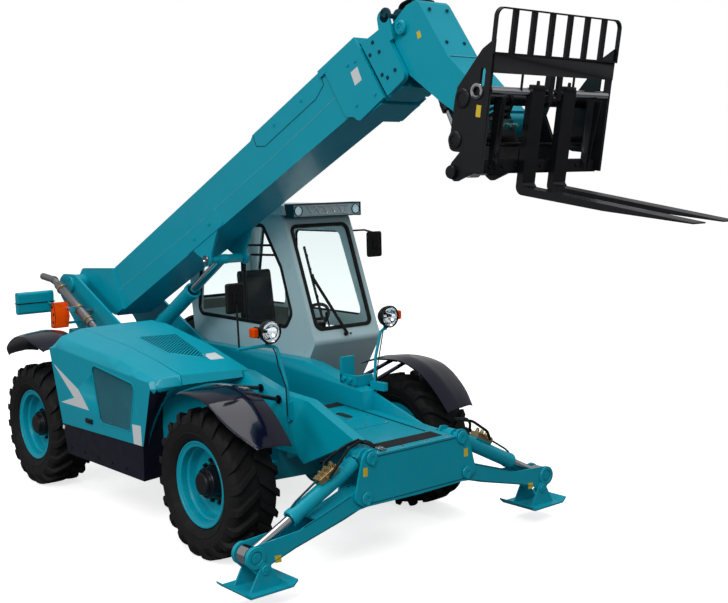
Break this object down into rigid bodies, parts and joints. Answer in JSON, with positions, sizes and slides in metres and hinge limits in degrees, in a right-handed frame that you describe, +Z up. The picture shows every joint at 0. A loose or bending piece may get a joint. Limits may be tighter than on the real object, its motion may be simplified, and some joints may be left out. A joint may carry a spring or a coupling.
{
  "type": "telehandler",
  "caption": "Telescopic handler with a side cab, three-stage boom, pallet fork carriage with load guard, front stabilisers and steered wheels.",
  "frame": {"origin": "on the ground under the middle of the machine's bounding box", "axes": "+X forwards, +Y to the machine's left, +Z up"},
  "size_m": [7.8394, 3.25, 4.1134],
  "materials": {
    "body_paint": "glossy teal paint",
    "cab_paint": "pale grey paint",
    "dark_paint": "gloss near-black",
    "black_paint": "black paint",
    "engine": "cast",
    "glass": "clear",
    "interior": "matt black",
    "tank_plastic": "matt black",
    "exhaust_steel": "dull grey",
    "lamp_housing": "satin black",
    "rod_chrome": "hard chrome",
    "tyre": "worn rubber"
  },
  "bodies": {
    "chassis": {"chassis_frame": "body_paint", "tow_hitch": "black_paint", "front_box": "body_paint", "front_axle": "black_paint", "rear_axle": "black_paint", "front_fenders": "dark_paint", "rear_fenders": "dark_paint", "engine_pod": "body_paint", "engine_block": "engine", "cab_shell": "cab_paint", "cab_roof": "cab_paint", "cab_glass": "glass", "cab_interior": "interior", "side_tank": "tank_plastic", "exhaust": "exhaust_steel", "rear_lights": "lamp_housing", "front_lamps": "lamp_housing", "mirrors": "interior"},
    "hood": {"hood_lid": "body_paint"},
    "door": {"cab_door": "cab_paint", "door_glass": "glass"},
    "boom_outer": {"boom_outer": "body_paint"},
    "boom_mid": {"boom_mid": "body_paint"},
    "boom_inner": {"boom_inner": "body_paint"},
    "lift_barrel": {"lift_barrel": "body_paint"},
    "lift_rod": {"lift_rod": "rod_chrome"},
    "tilt_barrel": {"tilt_barrel": "body_paint"},
    "tilt_rod": {"tilt_rod": "rod_chrome"},
    "carriage": {"carriage": "black_paint", "load_guard": "black_paint", "forks": "black_paint"},
    "front_knuckle_left": {"front_knuckle_left": "black_paint"},
    "front_wheel_left": {"front_rim_left": "body_paint", "front_tyre_left": "tyre"},
    "front_knuckle_right": {"front_knuckle_right": "black_paint"},
    "front_wheel_right": {"front_rim_right": "body_paint", "front_tyre_right": "tyre"},
    "rear_knuckle_left": {"rear_knuckle_left": "black_paint"},
    "rear_wheel_left": {"rear_rim_left": "body_paint", "rear_tyre_left": "tyre"},
    "rear_knuckle_right": {"rear_knuckle_right": "black_paint"},
    "rear_wheel_right": {"rear_rim_right": "body_paint", "rear_tyre_right": "tyre"},
    "leg_left": {"leg_left": "body_paint"},
    "leg_barrel_left": {"leg_barrel_left": "body_paint"},
    "leg_rod_left": {"leg_rod_left": "rod_chrome"},
    "pad_left": {"pad_left": "body_paint"},
    "leg_right": {"leg_right": "body_paint"},
    "leg_barrel_right": {"leg_barrel_right": "body_paint"},
    "leg_rod_right": {"leg_rod_right": "rod_chrome"},
    "pad_right": {"pad_right": "body_paint"}
  },
  "joints": [
    {"name": "boom_lift", "type": "hinge", "parent": "chassis", "child": "boom_outer", "pos_m": [-3.5365, 0, 1.85], "axis": [0, -1, 0], "range_deg": [-25, 43]},
    {"name": "boom_extend", "type": "slide", "parent": "boom_outer", "child": "boom_mid", "axis": [0.9048, 0, 0.4258], "range_m": [0, 3.6]},
    {"name": "tip_extend", "type": "slide", "parent": "boom_mid", "child": "boom_inner", "axis": [0.9048, 0, 0.4258], "range_m": [0, 3.6]},
    {"name": "carriage_tilt", "type": "hinge", "parent": "boom_inner", "child": "carriage", "pos_m": [2.36289, 0, 3.21472], "axis": [0, 1, 0], "range_deg": [-40, 35]},
    {"name": "tilt_barrel_swing", "type": "hinge", "parent": "boom_inner", "child": "tilt_barrel", "pos_m": [1.51142, 0, 3.93913], "axis": [0, 1, 0], "range_deg": [-5, 5]},
    {"name": "tilt_rod_slide", "type": "slide", "parent": "tilt_barrel", "child": "tilt_rod", "axis": [0.4556, 0, -0.8902], "range_m": [-0.26, 0.3]},
    {"name": "lift_barrel_swing", "type": "hinge", "parent": "chassis", "child": "lift_barrel", "pos_m": [-3.1485, 0, 0.959], "axis": [0, -1, 0], "range_deg": [-23, 39]},
    {"name": "lift_rod_slide", "type": "slide", "parent": "lift_barrel", "child": "lift_rod", "axis": [0.8572, 0, 0.515], "range_m": [-0.4, 0.68]},
    {"name": "hood_open", "type": "hinge", "parent": "chassis", "child": "hood", "pos_m": [-0.9665, -0.47, 1.45], "axis": [-1, 0, 0], "range_deg": [0, 65]},
    {"name": "door_open", "type": "hinge", "parent": "chassis", "child": "door", "pos_m": [-1.7115, 1.205, 1.7], "axis": [0, 0, 1], "range_deg": [0, 80]},
    {"name": "front_steer_left", "type": "hinge", "parent": "chassis", "child": "front_knuckle_left", "pos_m": [0.2335, 0.87, 0.588], "axis": [0, 0, 1], "range_deg": [-32, 32]},
    {"name": "front_roll_left", "type": "hinge", "parent": "front_knuckle_left", "child": "front_wheel_left", "pos_m": [0.2335, 1.015, 0.588], "axis": [0, 1, 0], "continuous": true},
    {"name": "front_steer_right", "type": "hinge", "parent": "chassis", "child": "front_knuckle_right", "pos_m": [0.2335, -0.87, 0.588], "axis": [0, 0, 1], "range_deg": [-32, 32]},
    {"name": "front_roll_right", "type": "hinge", "parent": "front_knuckle_right", "child": "front_wheel_right", "pos_m": [0.2335, -1.015, 0.588], "axis": [0, 1, 0], "continuous": true},
    {"name": "rear_steer_left", "type": "hinge", "parent": "chassis", "child": "rear_knuckle_left", "pos_m": [-2.7865, 0.87, 0.588], "axis": [0, 0, 1], "range_deg": [-32, 32]},
    {"name": "rear_roll_left", "type": "hinge", "parent": "rear_knuckle_left", "child": "rear_wheel_left", "pos_m": [-2.7865, 1.015, 0.588], "axis": [0, 1, 0], "continuous": true},
    {"name": "rear_steer_right", "type": "hinge", "parent": "chassis", "child": "rear_knuckle_right", "pos_m": [-2.7865, -0.87, 0.588], "axis": [0, 0, 1], "range_deg": [-32, 32]},
    {"name": "rear_roll_right", "type": "hinge", "parent": "rear_knuckle_right", "child": "rear_wheel_right", "pos_m": [-2.7865, -1.015, 0.588], "axis": [0, 1, 0], "continuous": true},
    {"name": "leg_left_raise", "type": "hinge", "parent": "chassis", "child": "leg_left", "pos_m": [1.3235, 0.51, 0.593], "axis": [1, 0, 0], "range_deg": [-8.8, 60]},
    {"name": "leg_barrel_left_swing", "type": "hinge", "parent": "chassis", "child": "leg_barrel_left", "pos_m": [1.3235, 0.46, 0.88], "axis": [1, 0, 0], "range_deg": [-9, 57]},
    {"name": "leg_rod_left_slide", "type": "slide", "parent": "leg_barrel_left", "child": "leg_rod_left", "axis": [0, 0.8958, -0.4444], "range_m": [-0.285, 0.045]},
    {"name": "pad_left_swing", "type": "hinge", "parent": "leg_left", "child": "pad_left", "pos_m": [1.3235, 1.41, 0.283], "axis": [1, 0, 0], "range_deg": [-20, 20]},
    {"name": "leg_right_raise", "type": "hinge", "parent": "chassis", "child": "leg_right", "pos_m": [1.3235, -0.51, 0.593], "axis": [-1, 0, 0], "range_deg": [-8.8, 60]},
    {"name": "leg_barrel_right_swing", "type": "hinge", "parent": "chassis", "child": "leg_barrel_right", "pos_m": [1.3235, -0.46, 0.88], "axis": [-1, 0, 0], "range_deg": [-9, 57]},
    {"name": "leg_rod_right_slide", "type": "slide", "parent": "leg_barrel_right", "child": "leg_rod_right", "axis": [0, -0.8958, -0.4444], "range_m": [-0.285, 0.045]},
    {"name": "pad_right_swing", "type": "hinge", "parent": "leg_right", "child": "pad_right", "pos_m": [1.3235, -1.41, 0.283], "axis": [-1, 0, 0], "range_deg": [-20, 20]}
  ],
  "couplings": [
    {"joint": "tip_extend", "follows": "boom_extend", "ratio": 1},
    {"joint": "tilt_barrel_swing", "follows": "carriage_tilt", "ratio": 0.11},
    {"joint": "tilt_rod_slide", "follows": "carriage_tilt", "m_per_rad": -0.4153},
    {"joint": "lift_barrel_swing", "follows": "boom_lift", "ratio": 0.9},
    {"joint": "lift_rod_slide", "follows": "boom_lift", "m_per_rad": 0.9017},
    {"joint": "front_steer_right", "follows": "front_steer_left", "ratio": 1},
    {"joint": "rear_steer_right", "follows": "rear_steer_left", "ratio": 1},
    {"joint": "leg_barrel_left_swing", "follows": "leg_left_raise", "ratio": 0.94},
    {"joint": "leg_rod_left_slide", "follows": "leg_left_raise", "m_per_rad": -0.2666},
    {"joint": "leg_barrel_right_swing", "follows": "leg_right_raise", "ratio": 0.94},
    {"joint": "leg_rod_right_slide", "follows": "leg_right_raise", "m_per_rad": -0.2666}
  ]
}
